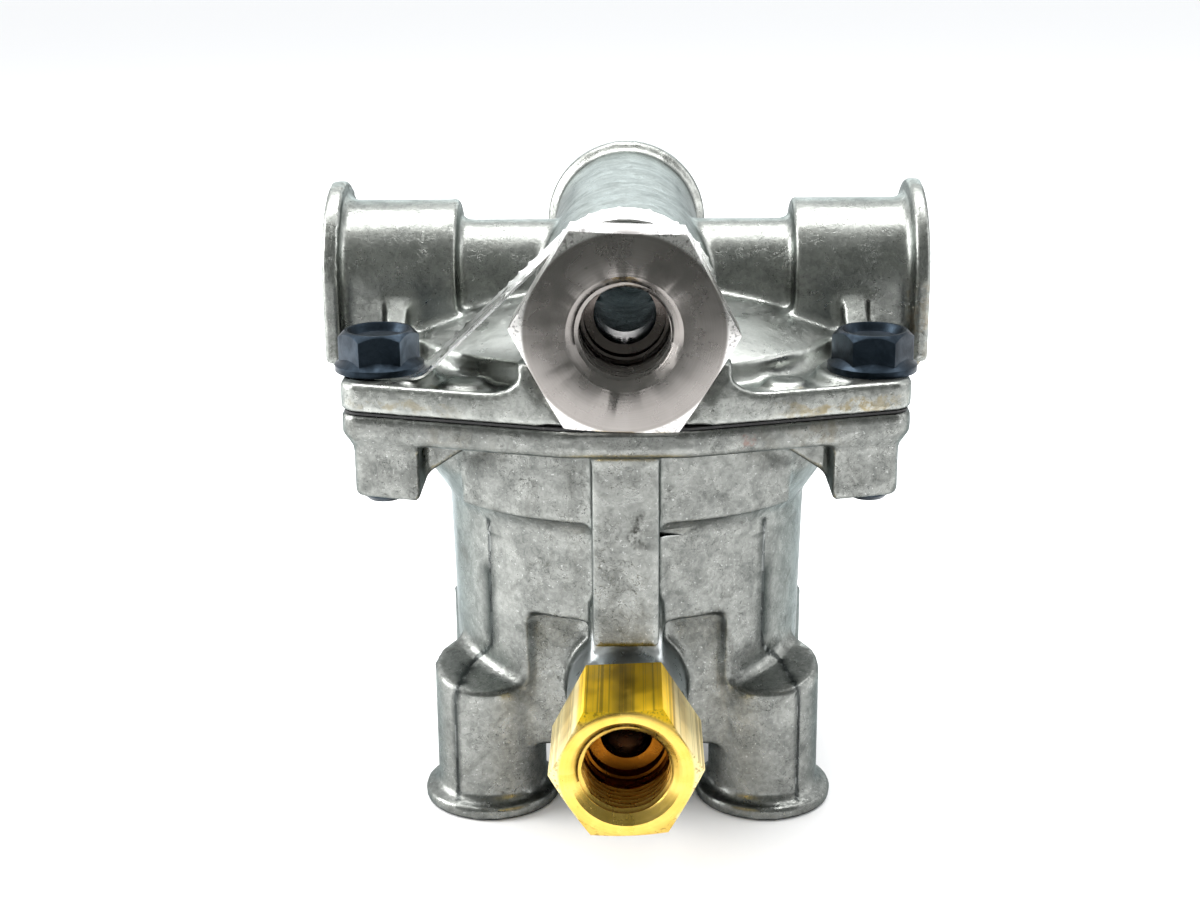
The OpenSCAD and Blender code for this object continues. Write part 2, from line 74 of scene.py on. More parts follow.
# Thread pitches: 14 and 18 to the inch
PITCH_14 = 1.814
PITCH_18 = 1.411
NODES = frame["nodes"]
BODY_OF = {}
for obj in NODES.values():
    BODY_OF[obj.name] = obj["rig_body"] if "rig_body" in obj else obj.parent.get("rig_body", obj.parent.name)


# ---- Camera, floor and lights; the floor, card and lights are placed in metres

def camera():
    data = bpy.data.cameras.new("camera")
    cam = bpy.data.objects.new("camera", data)
    bpy.context.collection.objects.link(cam)
    data.sensor_width = 36
    data.lens = 54.33
    data.clip_start = 0.01
    pitch, yaw, roll = math.radians(90 - 16.8), math.radians(1.1), math.radians(-0.5)
    right = Vector((math.cos(yaw), math.sin(yaw), 0))
    ahead = Vector((-math.sin(yaw), math.cos(yaw), 0))
    place = Vector((0, AXIS_Y, 0)) - ahead * 338 - right * 5.15 + Vector((0, 0, 165))
    turn = Matrix.Rotation(yaw, 4, "Z") @ Matrix.Rotation(pitch, 4, "X") @ Matrix.Rotation(roll, 4, "Z")
    cam.matrix_world = Matrix.Translation(place * MM) @ turn
    bpy.context.scene.camera = cam


def soft_box(name, place, size, power, target=(0, 0, 0.06)):
    data = bpy.data.lights.new(name, "AREA")
    data.shape = "RECTANGLE"
    data.size, data.size_y = size
    data.energy = power
    lamp = bpy.data.objects.new(name, data)
    bpy.context.collection.objects.link(lamp)
    lamp.location = place
    lamp.rotation_euler = (Vector(target) - Vector(place)).to_track_quat("-Z", "Y").to_euler()


def plane(name, corners, colour, material_name):
    mesh = bpy.data.meshes.new(name)
    mesh.from_pydata(corners, [], [(0, 1, 2, 3)])
    obj = bpy.data.objects.new(name, mesh)
    bpy.context.collection.objects.link(obj)
    mat = bpy.data.materials.new(material_name)
    mat.use_nodes = True
    shader = mat.node_tree.nodes["Principled BSDF"]
    shader.inputs["Base Color"].default_value = (*colour, 1)
    shader.inputs["Roughness"].default_value = 0.9
    shader.inputs["Specular IOR Level"].default_value = 0.1
    mesh.materials.append(mat)
    return obj


def studio():
    plane("floor", [(-4, -4, 0), (4, -4, 0), (4, 4, 0), (-4, 4, 0)], (0.9, 0.9, 0.9), "floor_white")
    # Dark card that leans over the part from the front; only reflections see it
    card = plane("dark_card", [(-0.58, -0.32, 0.004), (0.58, -0.32, 0.004), (0.55, -0.05, 0.80),
                               (-0.55, -0.05, 0.80)], (0.10, 0.105, 0.10), "card_black")
    card.visible_camera = False
    card.visible_diffuse = False
    card.visible_shadow = False
    world = bpy.data.worlds.new("studio")
    world.use_nodes = True
    sky = world.node_tree.nodes["Background"]
    sky.inputs["Color"].default_value = (0.97, 0.985, 1, 1)
    sky.inputs["Strength"].default_value = 1.08
    bpy.context.scene.world = world
    bpy.context.scene.view_settings.view_transform = "Standard"
    soft_box("top_box", (0.0, 0.12, 0.8), (0.9, 0.5), 9)
    soft_box("back_box", (0.0, 0.75, 0.34), (0.8, 0.35), 2, (0, 0, 0.11))
    soft_box("left_box", (-0.8, 0.0, 0.4), (0.4, 0.7), 9)
    soft_box("right_box", (0.8, 0.0, 0.4), (0.4, 0.7), 1.5)


# ---- Materials

class Shade:
    """A material and short ways to add its nodes."""

    def __init__(self, name, **sockets):
        self.mat = bpy.data.materials.new(name)
        self.mat.use_nodes = True
        self.tree = self.mat.node_tree
        self.shader = self.tree.nodes["Principled BSDF"]
        for key, value in sockets.items():
            self.put(self.shader.inputs[key.replace("_", " ")], value)
        self.where = self.add("ShaderNodeTexCoord").outputs["Object"]

    def put(self, socket, value):
        if isinstance(value, bpy.types.NodeSocket):
            self.tree.links.new(value, socket)
        elif hasattr(socket.default_value, "__len__") and len(socket.default_value) == 4:
            socket.default_value = (*value, 1)[:4]
        else:
            socket.default_value = value

    def add(self, kind, inputs=None, **settings):
        node = self.tree.nodes.new(kind)
        for key, value in settings.items():
            setattr(node, key, value)
        for key, value in (inputs or {}).items():
            self.put(node.inputs[key], value)
        return node

    def vector(self, op, a, b=(0, 0, 0)):
        return self.add("ShaderNodeVectorMath", {0: a, 1: b}, operation=op).outputs[0]

    def stretched(self, scale, move=(0, 0, 0)):
        return self.add("ShaderNodeMapping", {"Vector": self.where, "Scale": scale,
                                              "Location": move}).outputs[0]

    def noise(self, per_metre, detail=3.0, roughness=0.55, distortion=0.0, where=None):
        return self.add("ShaderNodeTexNoise", {
            "Vector": where or self.where, "Scale": per_metre, "Detail": detail,
            "Roughness": roughness, "Distortion": distortion}).outputs["Fac"]

    def fit(self, value, low, high, to_low=0.0, to_high=1.0):
        return self.add("ShaderNodeMapRange", {
            "Value": value, "From Min": low, "From Max": high, "To Min": to_low, "To Max": to_high},
            interpolation_type="SMOOTHSTEP").outputs[0]

    def sum(self, op, a, b=0.0, clamp=False):
        node = self.add("ShaderNodeMath", operation=op, use_clamp=clamp)
        self.put(node.inputs[0], a)
        self.put(node.inputs[1], b)
        return node.outputs[0]

    def mix(self, factor, a, b):
        node = self.add("ShaderNodeMix", data_type="RGBA")
        self.put(node.inputs["Factor"], factor)
        self.put(node.inputs["A"], a)
        self.put(node.inputs["B"], b)
        return node.outputs["Result"]

    def hollow(self, reach, inside=False, only_local=True):
        """1 in the open, falling towards 0 in hollows, or at edges with inside"""
        return self.add("ShaderNodeAmbientOcclusion", {"Distance": reach}, inside=inside,
                        only_local=only_local, samples=6).outputs["AO"]

    def near(self, centre, half, soft=0.35, wobble=0.0):
        """1 inside a box in the frame, in mm, fading out over its last part"""
        where = self.where
        if wobble:
            shift = self.add("ShaderNodeTexNoise", {"Vector": self.where, "Scale": 260.0, "Detail": 3.0})
            shift = self.vector("MULTIPLY", shift.outputs["Color"], (wobble * MM,) * 3)
            where = self.vector("ADD", self.where, shift)
            where = self.vector("SUBTRACT", where, (wobble * MM / 2,) * 3)
        offset = self.vector("SUBTRACT", where, tuple(c * MM for c in centre))
        scaled = self.vector("MULTIPLY", offset, tuple(1 / (h * MM) for h in half))
        parts = self.add("ShaderNodeSeparateXYZ", {0: self.vector("ABSOLUTE", scaled)}).outputs
        largest = self.sum("MAXIMUM", self.sum("MAXIMUM", parts[0], parts[1]), parts[2])
        return self.fit(largest, 1.0, 1.0 - soft)

    def bump(self, height, strength, distance, normal=None):
        node = self.add("ShaderNodeBump", {"Height": height, "Strength": strength,
                                           "Distance": distance * MM})
        if normal:
            self.put(node.inputs["Normal"], normal)
        return node.outputs["Normal"]

    def done(self, **sockets):
        for key, value in sockets.items():
            self.put(self.shader.inputs[key.replace("_", " ")], value)
        return self.mat


def cast_aluminium(name, light, stains, painted_light_zones):
    """Die-cast skin: cloudy patches, fine dark squiggles, painted shade in hollows, painted highlights on
    edges and a few stains.

    Stains, and areas of painted light and painted shade, are (centre, half size, colour, amount) in mm in
    the frame: broken up, and smooth."""
    s = Shade(name, Metallic=1.0)
    cloud = s.noise(60.0, 4.0, 0.6, 0.5)
    patch = s.noise(240.0, 4.0, 0.65, 0.6)
    grain = s.noise(900.0, 3.0, 0.65, 0.8)
    speck = s.noise(2200.0, 2.0, 0.6)
    tone = s.sum("ADD", s.sum("MULTIPLY", s.fit(cloud, 0.32, 0.68), 0.30),
                 s.sum("MULTIPLY", s.fit(patch, 0.34, 0.66), 0.40))
    tone = s.sum("ADD", tone, s.sum("MULTIPLY", s.fit(grain, 0.36, 0.64), 0.30))
    dull = tuple(light * c for c in (0.165, 0.172, 0.162))
    clean = tuple(light * c for c in (0.395, 0.404, 0.380))
    colour = s.mix(tone, dull, clean)
    # Thin dark squiggles where the melt froze, stronger in some patches
    line = s.sum("ABSOLUTE", s.sum("SUBTRACT", s.noise(620.0, 2.5, 0.55, 1.6), 0.5))
    squiggle = s.sum("MULTIPLY", s.fit(line, 0.016, 0.002), s.fit(s.noise(150.0, 3.0, 0.6), 0.42, 0.60))
    colour = s.mix(s.sum("MULTIPLY", squiggle, 0.8), colour, (0.055, 0.058, 0.052))
    pits = s.fit(speck, 0.66, 0.74)
    colour = s.mix(s.sum("MULTIPLY", pits, 0.65), colour, (0.045, 0.048, 0.045))
    flecks = s.fit(s.noise(1900.0, 2.0, 0.6, where=s.stretched((1, 1, 1), move=(0.3, 0.2, 0.1))), 0.64, 0.74)
    colour = s.mix(s.sum("MULTIPLY", flecks, 0.5), colour, (0.62, 0.63, 0.61))
    blotch = s.fit(s.noise(120.0, 6.0, 0.7, 1.2), 0.56, 0.70)
    colour = s.mix(s.sum("MULTIPLY", blotch, 0.4), colour, (0.11, 0.11, 0.10))
    # Painted shade: well-hidden places go nearly black and creases darker, and edges get a painted highlight
    deep_shade = s.fit(s.hollow(22 * MM, only_local=False), 0.08, 0.34)
    colour = s.mix(s.sum("SUBTRACT", 1.0, deep_shade), colour, (0.020, 0.028, 0.028))
    # Painted light and painted shade, area by area
    for centre, half, tint, amount in painted_light_zones:
        colour = s.mix(s.sum("MULTIPLY", s.near(centre, half), amount), colour, tint)
    # Painted shade in creases
    crease_shade = s.fit(s.hollow(1.1 * MM), 0.30, 0.75)
    colour = s.mix(s.sum("SUBTRACT", 1.0, crease_shade), colour, (0.035, 0.043, 0.040))
    # Painted highlight along edges
    edge_highlight = s.fit(s.hollow(0.8 * MM, inside=True), 0.75, 0.45)
    colour = s.mix(s.sum("MULTIPLY", edge_highlight, 0.6), colour, (0.66, 0.68, 0.67))
    line = s.add("ShaderNodeAttribute", attribute_name="parting").outputs["Fac"]
    colour = s.mix(s.sum("MULTIPLY", line, 0.9), colour, (0.022, 0.026, 0.024))
    rough = s.fit(patch, 0.3, 0.7, 0.38, 0.26)
    rough = s.sum("ADD", rough, s.sum("MULTIPLY", s.sum("SUBTRACT", 1.0, crease_shade), 0.25))
    rough = s.sum("ADD", rough, s.sum("MULTIPLY", blotch, 0.12))
    for centre, half, tint, amount in stains:
        mask = s.near(centre, half, 0.8, 6.0)
        mask = s.sum("MULTIPLY", mask, s.fit(s.noise(420.0, 4.0, 0.7), 0.42, 0.58))
        mask = s.sum("MULTIPLY", mask, amount)
        colour = s.mix(mask, colour, tint)
        rough = s.sum("ADD", rough, s.sum("MULTIPLY", mask, 0.3))
    relief = s.sum("ADD", s.sum("MULTIPLY", patch, 0.5), s.sum("MULTIPLY", grain, 0.5))
    relief = s.sum("SUBTRACT", relief, s.sum("MULTIPLY", squiggle, 0.35))
    normal = s.bump(s.noise(90.0, 2.0), 0.3, 0.5)
    normal = s.bump(relief, 0.55, 0.14, normal)
    # Painted shade: the specular tint goes to black in well-hidden places, so they show no reflection
    rim = s.mix(deep_shade, (0.0, 0.0, 0.0), (0.42, 0.47, 0.48))
    return s.done(Base_Color=colour, Roughness=rough, Normal=normal, Specular_Tint=rim)


def turned(name, bright, dull, inside, axis_at, flat_from, ring_per_metre=2600.0, streak=0.4,
           roughness=(0.16, 0.32), tint=None, corner=None, side_flat_painted_light=None, top_flat_painted_light=None,
           shade=(0.55, 0.25)):
    """Machined metal with rings about an axis along Y, at axis_at = (x, z) in mm.

    The hexagon's flats and corners are farther from the axis than flat_from; their colours are painted
    light: a painted highlight towards the corners and lighter painted colours on the side and top flats.
    Painted shade in the bores: the colour goes over to inside as the open air, as far as the bore's width,
    falls through shade, and to near black further in."""
    s = Shade(name, Metallic=1.0)
    offset = s.vector("SUBTRACT", s.where, (axis_at[0] * MM, 0, axis_at[1] * MM))
    parts = s.add("ShaderNodeSeparateXYZ", {0: offset}).outputs
    radius = s.sum("SQRT", s.sum("ADD", s.sum("MULTIPLY", parts[0], parts[0]),
                                 s.sum("MULTIPLY", parts[2], parts[2])))
    ring_place = s.add("ShaderNodeCombineXYZ", {0: radius, 1: s.sum("MULTIPLY", parts[1], 0.3)}).outputs[0]
    rings = s.noise(ring_per_metre, 3.0, 0.6, where=ring_place)
    angle = s.sum("ARCTAN2", parts[2], parts[0])
    sweep_place = s.add("ShaderNodeCombineXYZ", {0: angle, 1: s.sum("MULTIPLY", radius, 20.0)}).outputs[0]
    sweep = s.noise(2.2, 3.0, 0.5, where=sweep_place)
    cloud = s.noise(160.0, 4.0, 0.6)
    tone = s.sum("ADD", s.sum("MULTIPLY", s.fit(rings, 0.3, 0.7), streak),
                 s.sum("MULTIPLY", s.fit(sweep, 0.3, 0.7), 0.6 - streak / 2))
    tone = s.sum("ADD", tone, s.sum("MULTIPLY", s.fit(cloud, 0.35, 0.65), 0.25), True)
    colour = s.mix(tone, dull, bright)
    if tint:
        mask = s.fit(s.noise(120.0, 3.0, 0.6, 0.5), 0.5, 0.68)
        colour = s.mix(s.sum("MULTIPLY", mask, 0.3), colour, tint)
    dirt = s.fit(s.noise(900.0, 3.0, 0.7), 0.66, 0.76)
    colour = s.mix(s.sum("MULTIPLY", dirt, 0.35), colour, tuple(c * 0.3 for c in dull))
    # Lengthwise drawing marks, which show on the flats
    drawn = s.noise(1.0, 2.0, 0.6, where=s.stretched((1900.0, 5.0, 1900.0)))
    flats = s.fit(radius, flat_from * MM - 0.0004, flat_from * MM + 0.0002)
    # Painted light on the hexagon: a painted highlight towards its corners and lighter painted colours on
    # its side and top flats
    if corner:
        colour = s.mix(s.sum("MULTIPLY", flats, 0.85), colour, corner)
    if side_flat_painted_light:
        beside = s.fit(s.sum("ABSOLUTE", parts[0]), 0.68 * flat_from * MM, 0.76 * flat_from * MM)
        colour = s.mix(s.sum("MULTIPLY", s.sum("MULTIPLY", flats, beside), 0.7), colour, side_flat_painted_light)
    if top_flat_painted_light:
        above = s.fit(parts[2], 0.74 * flat_from * MM, 0.86 * flat_from * MM)
        colour = s.mix(s.sum("MULTIPLY", flats, above), colour, top_flat_painted_light)
    marks = s.sum("MULTIPLY", s.fit(drawn, 0.50, 0.66), flats)
    colour = s.mix(s.sum("MULTIPLY", marks, 0.6), colour, tuple(c * 0.35 for c in dull))
    # Painted shade in small hollows
    hollow = s.fit(s.hollow(1.6 * MM), 0.25, 0.75)
    colour = s.mix(s.sum("SUBTRACT", 1.0, hollow), colour, tuple(c * 0.3 for c in dull))
    # Painted shade in the bores, going to near black further in
    open_air = s.hollow(14 * MM)
    colour = s.mix(s.fit(open_air, *shade), colour, inside)
    colour = s.mix(s.fit(open_air, 0.12, 0.05), colour, (0.012, 0.012, 0.012))
    rough = s.fit(cloud, 0.3, 0.7, roughness[0], roughness[1])
    if side_flat_painted_light:
        rough = s.sum("ADD", rough, s.sum("MULTIPLY", flats, 0.22))
    normal = s.bump(rings, 0.35, 0.04)
    normal = s.bump(cloud, 0.2, 0.08, normal)
    return s.done(Base_Color=colour, Roughness=rough, Normal=normal)


def plain_metal(name, bright, dull, roughness, grain=900.0):
    """Small machined or drawn pieces: cloudy tone, fine grain, painted shade in hollows and a painted
    highlight on edges
    """
    s = Shade(name, Metallic=1.0)
    cloud = s.noise(grain / 4, 4.0, 0.6, 0.4)
    fine = s.noise(grain * 3, 2.0, 0.6)
    colour = s.mix(s.fit(cloud, 0.32, 0.68), dull, bright)
    colour = s.mix(s.sum("MULTIPLY", s.fit(fine, 0.62, 0.74), 0.4), colour, tuple(c * 0.4 for c in dull))
    # Painted shade in hollows
    hollow = s.fit(s.hollow(1.5 * MM), 0.3, 0.85)
    colour = s.mix(s.sum("SUBTRACT", 1.0, hollow), colour, tuple(c * 0.25 for c in dull))
    # Painted highlight along edges
    edge_highlight = s.fit(s.hollow(0.5 * MM, inside=True), 0.75, 0.45)
    colour = s.mix(s.sum("MULTIPLY", edge_highlight, 0.5), colour, tuple(min(1, c * 1.5) for c in bright))
    rough = s.fit(cloud, 0.3, 0.7, roughness[1], roughness[0])
    normal = s.bump(s.sum("ADD", fine, cloud), 0.3, 0.05)
    return s.done(Base_Color=colour, Roughness=rough, Normal=normal)


def rubber(name, tone):
    s = Shade(name)
    cloud = s.noise(500.0, 4.0, 0.6)
    dust = s.fit(s.noise(1800.0, 3.0, 0.7), 0.58, 0.72)
    colour = s.mix(s.fit(cloud, 0.3, 0.7), tone, tuple(c * 1.8 for c in tone))
    colour = s.mix(s.sum("MULTIPLY", dust, 0.3), colour, (0.2, 0.2, 0.19))
    return s.done(Base_Color=colour, Roughness=s.fit(cloud, 0.3, 0.7, 0.55, 0.75),
                  Normal=s.bump(s.sum("ADD", cloud, dust), 0.4, 0.05))


# ---- Meshes

def object_from(name, verts, faces):
    mesh = bpy.data.meshes.new(name)
    mesh.from_pydata([tuple(v) for v in verts], [], [tuple(f) for f in faces])
    mesh.update()
    obj = bpy.data.objects.new(name, mesh)
    bpy.context.collection.objects.link(obj)
    return obj


def smooth(obj, degrees):
    mesh = obj.data
    mesh.shade_smooth()
    mesh.set_sharp_from_angle(angle=math.radians(degrees))


def copied(node, name):
    """A copy of a CAD node's mesh with its split corners joined"""
    shape = bmesh.new()
    shape.from_mesh(NODES[node].data)
    bmesh.ops.remove_doubles(shape, verts=shape.verts, dist=1e-6)
    mesh = bpy.data.meshes.new(name)
    shape.to_mesh(mesh)
    shape.free()
    obj = bpy.data.objects.new(name, mesh)
    bpy.context.collection.objects.link(obj)
    return obj


def apply_modifiers(obj):
    graph = bpy.context.evaluated_depsgraph_get()
    mesh = bpy.data.meshes.new_from_object(obj.evaluated_get(graph))
    obj.modifiers.clear()
    old, obj.data = obj.data, mesh
    bpy.data.meshes.remove(old)


def cut(obj, *tools, operation="DIFFERENCE"):
    for tool in tools:
        change = obj.modifiers.new("cut", "BOOLEAN")
        change.operation = operation
        change.object = tool
        change.solver = "MANIFOLD"
        apply_modifiers(obj)
    for tool in set(tools):
        bpy.data.objects.remove(tool)


def block(name, low, high):
    """A box between two corners about the body axis, in mm"""
    corners = [((low, high)[i & 1][0], (low, high)[i >> 1 & 1][1] + AXIS_Y, (low, high)[i >> 2][2])
               for i in range(8)]
    faces = [(0, 2, 3, 1), (4, 5, 7, 6), (0, 1, 5, 4), (2, 6, 7, 3), (0, 4, 6, 2), (1, 3, 7, 5)]
    return object_from(name, [Vector(c) * MM for c in corners], faces)


def lathe(name, profile, matrix, sides=96):
    """A closed solid turned about Z from (radius, height) points in mm, placed by a matrix in mm"""
    verts, faces = [], []
    for r, h in profile:
        verts += [(r * math.cos(a), r * math.sin(a), h) for a in
                  (2 * math.pi * i / sides for i in range(sides))]
    for k in range(len(profile) - 1):
        faces += [(k * sides + i, k * sides + (i + 1) % sides, (k + 1) * sides + (i + 1) % sides,
                   (k + 1) * sides + i) for i in range(sides)]
    faces += [tuple(reversed(range(sides))), tuple(range(len(verts) - sides, len(verts)))]
    return object_from(name, [(matrix @ Vector(v)) * MM for v in verts], faces)


def thread_tool(name, radius, pitch, depth, length, matrix, sides=72, per_pitch=8):
    """A cutter for a bore with a thread, from its mouth at height 0 down to -length"""
    verts, faces = [], []
    rows = int((length + 2) / pitch * per_pitch)
    for k in range(rows + 1):
        h = 1.0 - k * (length + 1) / rows
        for i in range(sides):
            turn = i / sides
            phase = (h / pitch + turn) % 1.0
            crest = min(1.0, max(0.0, 1.35 * (1 - abs(2 * phase - 1)) - 0.18))
            fade = min(1.0, max(0.0, (length - 1.6 + h) / 1.6))
            r = radius + depth * crest * fade
            a = 2 * math.pi * turn
            verts.append((r * math.cos(a), r * math.sin(a), h))
    for k in range(rows):
        faces += [(k * sides + i, (k + 1) * sides + i, (k + 1) * sides + (i + 1) % sides,
                   k * sides + (i + 1) % sides) for i in range(sides)]
    faces += [tuple(range(sides)), tuple(reversed(range(len(verts) - sides, len(verts))))]
    return object_from(name, [(matrix @ Vector(v)) * MM for v in verts], faces)


def mouth(x, y, z, out):
    """Matrix whose Z points out of a port at a place about the body axis"""
    return Matrix.Translation((x, y + AXIS_Y, z)) @ Vector(out).to_track_quat("Z", "Y").to_matrix().to_4x4()


def threaded(name, radius, pitch, depth, length, place, chamfer=1.2):
    """Cutters for a threaded bore and the chamfer at its mouth"""
    cone = [(radius + depth + chamfer + 0.5, 0.5), (radius - 0.2, -depth - chamfer - 0.2)]
    flare = lathe(name + "_flare", cone, place)
    flare.data.flip_normals()
    return thread_tool(name, radius, pitch, depth, length, place), flare


# ---- Castings

def level_set(points, tris, quads, half_width, transform):
    return openvdb.FloatGrid.createLevelSetFromPolygons(
        points, triangles=tris, quads=quads, transform=transform, halfWidth=half_width)


def cast_skin(node, name, filler=None, fillet=1.3, rounding=0.45, voxel=0.5, merge=0.005):
    """The CAD casting with its hollows filled to a radius and then its edges rounded"""
    solid = copied(node, name + "_solid")
    if filler:
        cut(solid, filler, operation="UNION")
    shape = bmesh.new()
    shape.from_mesh(solid.data)
    bpy.data.objects.remove(solid)
    bmesh.ops.triangulate(shape, faces=shape.faces)
    points = np.array([v.co for v in shape.verts], np.float32) / MM
    tris = np.array([[v.index for v in f.verts] for f in shape.faces], np.uint32)
    shape.free()
    low, high = points.min(axis=0), points.max(axis=0)
    quads = np.empty((0, 4), np.uint32)
    transform = openvdb.createLinearTransform(voxel)
    grid = level_set(points, tris, quads, fillet / voxel + 3, transform)
    for iso, reach in ((fillet, fillet + rounding), (-fillet - rounding, rounding)):
        points, tris, quads = grid.convertToPolygons(isovalue=iso, adaptivity=0)
        tris, quads = tris.astype(np.uint32), quads.astype(np.uint32)
        grid = level_set(points, tris, quads, reach / voxel + 3, transform)
    points, tris, quads = grid.convertToPolygons(isovalue=rounding, adaptivity=merge)
    points = np.clip(points, low, high)
    faces = [tuple(reversed(f)) for f in tris.tolist()] + [tuple(reversed(f)) for f in quads.tolist()]
    return object_from(name, points * MM, faces)


def groove(name, path, skin, radius=0.4, side=-1, sides=8):
    """A cutter along a line on the casting: path is (x, z) in mm, laid on the skin from the front or rear"""
    points = []
    for (x0, z0), (x1, z1) in zip(path, path[1:]):
        steps = max(2, int(math.hypot(x1 - x0, z1 - z0) / 0.6))
        points += [(x0 + (x1 - x0) * i / steps, z0 + (z1 - z0) * i / steps) for i in range(steps)]
    points.append(path[-1])
    laid = []
    for x, z in points:
        start = Vector((x, side * 90 + AXIS_Y, z)) * MM
        hit = skin.ray_cast(start, Vector((0, -side, 0)))[0]
        if hit:
            laid.append(hit / MM)
    for _ in range(2):
        laid = [laid[0]] + [(a + b * 2 + c) / 4 for a, b, c in zip(laid, laid[1:], laid[2:])] + [laid[-1]]
    verts, faces = [], []
    for i, p in enumerate(laid):
        along = (laid[min(i + 1, len(laid) - 1)] - laid[max(i - 1, 0)]).normalized()
        across = along.cross(Vector((0, 1, 0))).normalized()
        up = across.cross(along)
        verts += [(p + radius * (math.cos(a) * across + math.sin(a) * up)) * MM for a in
                  (2 * math.pi * k / sides for k in range(sides))]
    for i in range(len(laid) - 1):
        faces += [(i * sides + k, i * sides + (k + 1) % sides, (i + 1) * sides + (k + 1) % sides,
                   (i + 1) * sides + k) for k in range(sides)]
    faces += [tuple(reversed(range(sides))), tuple(range(len(verts) - sides, len(verts)))]
    return object_from(name, verts, faces), laid


def mark(obj, lines, reach=0.55):
    """Point attribute that is 1 on and beside the parting lines"""
    points = np.empty(len(obj.data.vertices) * 3, np.float32)
    obj.data.vertices.foreach_get("co", points)
    points = points.reshape(-1, 3) / MM
    near = np.zeros(len(points), np.float32)
    for line in lines:
        for a, b in zip(line, line[1:]):
            ends = np.array((a, b), np.float32)
            box = np.all((points > ends.min(0) - 1) & (points < ends.max(0) + 1), axis=1)
            if box.any():
                along = ends[1] - ends[0]
                t = np.clip((points[box] - ends[0]) @ along / (along @ along), 0, 1)
                gap = np.linalg.norm(points[box] - ends[0] - t[:, None] * along, axis=1)
                near[box] = np.maximum(near[box], np.clip((reach + 0.1 - gap) / 0.1, 0, 1))
    obj.data.attributes.new("parting", "FLOAT", "POINT").data.foreach_set("value", near)


def skin_of(obj):
    shape = bmesh.new()
    shape.from_mesh(obj.data)
    tree = BVHTree.FromBMesh(shape)
    shape.free()
    return tree


def settle(obj, node, material, degrees=50):
    smooth(obj, degrees)
    obj.data.materials.clear()
    obj.data.materials.append(material)
    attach(obj, BODY_OF[node])
    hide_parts(node)


def hexagon_bed():
    """Metal of the cover close round the lower half of the steel hexagon"""
    flange_corner = ((44.4, 38.5), 3.6)
    flange_nose = ((9, 44), 8.2)
    bed_top = 92.8
    recess_face, recess_r = -45.4, 19.2
    hexagon_r, hexagon_turn = 19.05, 2
    shape = bmesh.new()
    points = []
    for (cx, cy), r in (flange_corner, flange_nose):
        for sx in (-1, 1):
            for sy in (-1, 1):
                for i in range(48):
                    a = 2 * math.pi * i / 48
                    points += [(sx * cx + r * math.cos(a), sy * cy + r * math.sin(a) + AXIS_Y, z)
                               for z in (JOINT_Z + GASKET_T, bed_top)]
    verts = [shape.verts.new(Vector(p) * MM) for p in points]
    bmesh.ops.convex_hull(shape, input=verts)
    bmesh.ops.delete(shape, geom=[v for v in shape.verts if not v.link_faces], context="VERTS")
    mesh = bpy.data.meshes.new("bed")
    shape.to_mesh(mesh)
    shape.free()
    bed = bpy.data.objects.new("bed", mesh)
    bpy.context.collection.objects.link(bed)
    front = mouth(0, recess_face, PORT_Z, (0, -1, 0))
    cut(bed, lathe("swing", [(recess_r, 0), (recess_r, 20)], front), operation="INTERSECT")
    corners = []
    for y in (-40, -70):
        for i in range(6):
            a = math.radians(hexagon_turn + 30 + 60 * i)
            corner = Vector((hexagon_r * math.sin(a), y + AXIS_Y, PORT_Z + hexagon_r * math.cos(a)))
            corners.append(corner * MM)
    faces = [(0, 1, 2, 3, 4, 5), (11, 10, 9, 8, 7, 6)]
    faces += [(i, i + 6, (i + 1) % 6 + 6, (i + 1) % 6) for i in range(6)]
    cut(bed, object_from("hexagon", corners, faces))
    return bed


def cover(material):
    obj = cast_skin("cover_casting", "cover_skin", hexagon_bed())
    for side in (-1, 1):
        place = mouth(side * SIDE_REACH, 0, PORT_Z, (side, 0, 0))
        cut(obj, *threaded("side_thread", 9.18, PITCH_14, 1.15, 17, place))
    place = mouth(0, REAR_REACH, PORT_Z, (0, 1, 0))
    cut(obj, *threaded("rear_thread", 11.93, PITCH_14, 1.2, 17, place))
    settle(obj, "cover_casting", material)


def lower(material):
    # From the barrel over the shoulder to the lip, as distances from the middle and heights
    parting = [(25.3, 57.0), (25.3, 31.5), (27.0, 29.0), (31.2, 25.6), (32.0, 23.6), (32.0, 2.9)]
    obj = cast_skin("lower_casting", "lower_skin", merge=0.02)
    skin = skin_of(obj)
    tools, lines = [], []
    for x in (-1, 1):
        for y in (-1, 1):
            tool, laid = groove("parting", [(across * x, z) for across, z in parting], skin, side=y)
            tools.append(tool)
            lines.append(laid)
            place = mouth(x * LOW_PORT_X, y * LOW_PORT_Y, 0, (0, 0, -1))
            tools += threaded("low_thread", 5.62, PITCH_18, 0.9, 10.5, place, 0.6)
    tools.append(block("notch", (6.0, -40, 57.1), (12.3, -33.0, 58.5)))
    cut(obj, *tools)
    mark(obj, lines)
    settle(obj, "lower_casting", material)


# ---- Adapters, bolts, tag and the rest

def refined(node, name, material, bevel=0.15, segments=2, degrees=35, tools=()):
    obj = copied(node, name)
    if tools:
        cut(obj, *tools)
    if bevel:
        change = obj.modifiers.new("soft_edges", "BEVEL")
        change.width = bevel * MM
        change.segments = segments
        change.limit_method = "ANGLE"
        change.angle_limit = math.radians(32)
        change.use_clamp_overlap = True
        apply_modifiers(obj)
    settle(obj, node, material, degrees)
    return obj


